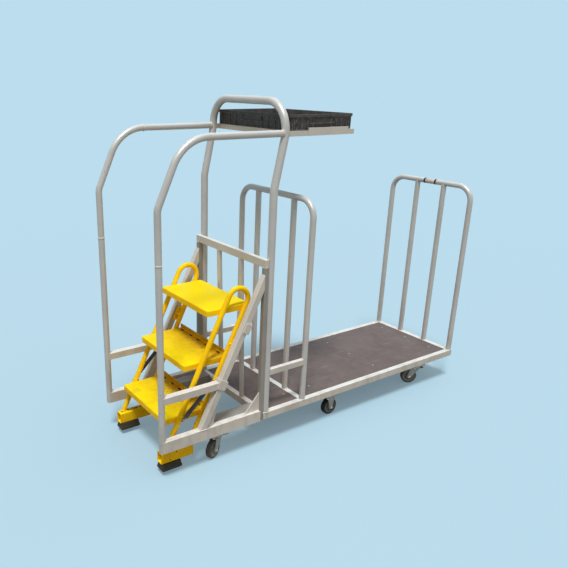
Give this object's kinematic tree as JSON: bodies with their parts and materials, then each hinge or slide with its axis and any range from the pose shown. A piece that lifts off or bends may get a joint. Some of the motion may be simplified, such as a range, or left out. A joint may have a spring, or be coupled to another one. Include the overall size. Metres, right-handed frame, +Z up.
{
  "type": "step trolley",
  "caption": "Order picking trolley with a flat deck between hoops, a spring lifted step unit with handrails at one end, a raised tray shelf and castors.",
  "frame": {"origin": "centre of the footprint on the floor, under the middle of the overall length", "axes": "+X from the steps towards the end of the deck, +Y towards the far side, +Z up"},
  "size_m": [2.164, 0.647, 1.7809],
  "materials": {
    "frame_paint": "silver grey paint, lightly worn",
    "step_yellow": "yellow powder coat, scuffed",
    "board": "dark brown phenolic film on plywood",
    "zinc": "zinc plated sheet",
    "wheel_core": "dark grey plastic",
    "tyre": "black rubber",
    "pad_rubber": "black rubber",
    "spring_dark": "dark coated spring steel",
    "tray_plastic": "dark grey moulded plastic"
  },
  "bodies": {
    "frame": {"deck_frame": "frame_paint", "deck_boards": "board", "main_hoop": "frame_paint", "end_hoop": "frame_paint", "end_hoop_bars": "frame_paint", "middle_hoop": "frame_paint", "middle_hoop_bars": "frame_paint", "hoop_struts": "frame_paint", "handrail_near": "frame_paint", "handrail_far": "frame_paint", "side_rails": "frame_paint", "uprights": "frame_paint", "crossbar": "frame_paint", "guard_bars": "frame_paint", "guide_bar_near": "frame_paint", "guide_bar_far": "frame_paint", "upper_arms": "frame_paint", "guide_brackets": "frame_paint", "guide_stops": "frame_paint", "gussets": "frame_paint", "castor_beams": "frame_paint", "castor_seats": "frame_paint", "castor_plates": "zinc", "fork_middle_near": "zinc", "fork_middle_far": "zinc", "shelf_frame": "frame_paint", "shelf_side_plates": "frame_paint", "lift_springs": "spring_dark"},
    "step_unit": {"step_loop_near": "step_yellow", "step_loop_far": "step_yellow", "tread_bottom": "step_yellow", "tread_middle": "step_yellow", "tread_top": "step_yellow", "foot_channels": "step_yellow", "foot_pads": "pad_rubber", "slide_brackets": "step_yellow", "spring_lugs": "step_yellow"},
    "tray": {"tray": "tray_plastic"},
    "swivel_front_near": {"fork_front_near": "zinc"},
    "roller_front_near": {"wheel_front_near": "wheel_core", "tyre_front_near": "tyre"},
    "swivel_front_far": {"fork_front_far": "zinc"},
    "roller_front_far": {"wheel_front_far": "wheel_core", "tyre_front_far": "tyre"},
    "roller_middle_near": {"wheel_middle_near": "wheel_core", "tyre_middle_near": "tyre"},
    "roller_middle_far": {"wheel_middle_far": "wheel_core", "tyre_middle_far": "tyre"},
    "swivel_rear_near": {"fork_rear_near": "zinc"},
    "roller_rear_near": {"wheel_rear_near": "wheel_core", "tyre_rear_near": "tyre"},
    "swivel_rear_far": {"fork_rear_far": "zinc"},
    "roller_rear_far": {"wheel_rear_far": "wheel_core", "tyre_rear_far": "tyre"}
  },
  "joints": [
    {"name": "step_drop", "type": "slide", "parent": "frame", "child": "step_unit", "axis": [-0.4431, 0, -0.8965], "range_m": [0, 0.0278], "stiffness_N_per_m": 3000, "springref_m": -0.06},
    {"name": "tray_lift", "type": "slide", "parent": "frame", "child": "tray", "axis": [0, 0, 1], "range_m": [0, 0.25]},
    {"name": "swivel_front_near", "type": "hinge", "parent": "frame", "child": "swivel_front_near", "pos_m": [-0.708, -0.232, 0.118], "axis": [0, 0, 1], "continuous": true},
    {"name": "roll_front_near", "type": "hinge", "parent": "swivel_front_near", "child": "roller_front_near", "pos_m": [-0.74244, -0.24806, 0.05], "axis": [-0.4226, 0.9063, 0], "continuous": true},
    {"name": "swivel_front_far", "type": "hinge", "parent": "frame", "child": "swivel_front_far", "pos_m": [-0.708, 0.232, 0.118], "axis": [0, 0, 1], "continuous": true},
    {"name": "roll_front_far", "type": "hinge", "parent": "swivel_front_far", "child": "roller_front_far", "pos_m": [-0.74517, 0.2241, 0.05], "axis": [-0.2079, 0.9781, 0], "continuous": true},
    {"name": "roll_middle_near", "type": "hinge", "parent": "frame", "child": "roller_middle_near", "pos_m": [0.084, -0.232, 0.05], "axis": [0, 1, 0], "continuous": true},
    {"name": "roll_middle_far", "type": "hinge", "parent": "frame", "child": "roller_middle_far", "pos_m": [0.084, 0.232, 0.05], "axis": [0, 1, 0], "continuous": true},
    {"name": "swivel_rear_near", "type": "hinge", "parent": "frame", "child": "swivel_rear_near", "pos_m": [0.84, -0.232, 0.118], "axis": [0, 0, 1], "continuous": true},
    {"name": "roll_rear_near", "type": "hinge", "parent": "swivel_rear_near", "child": "roller_rear_near", "pos_m": [0.80835, -0.21097, 0.05], "axis": [0.5534, 0.8329, 0], "continuous": true},
    {"name": "swivel_rear_far", "type": "hinge", "parent": "frame", "child": "swivel_rear_far", "pos_m": [0.84, 0.232, 0.118], "axis": [0, 0, 1], "continuous": true},
    {"name": "roll_rear_far", "type": "hinge", "parent": "swivel_rear_far", "child": "roller_rear_far", "pos_m": [0.80313, 0.24119, 0.05], "axis": [0.2419, 0.9703, 0], "continuous": true}
  ]
}
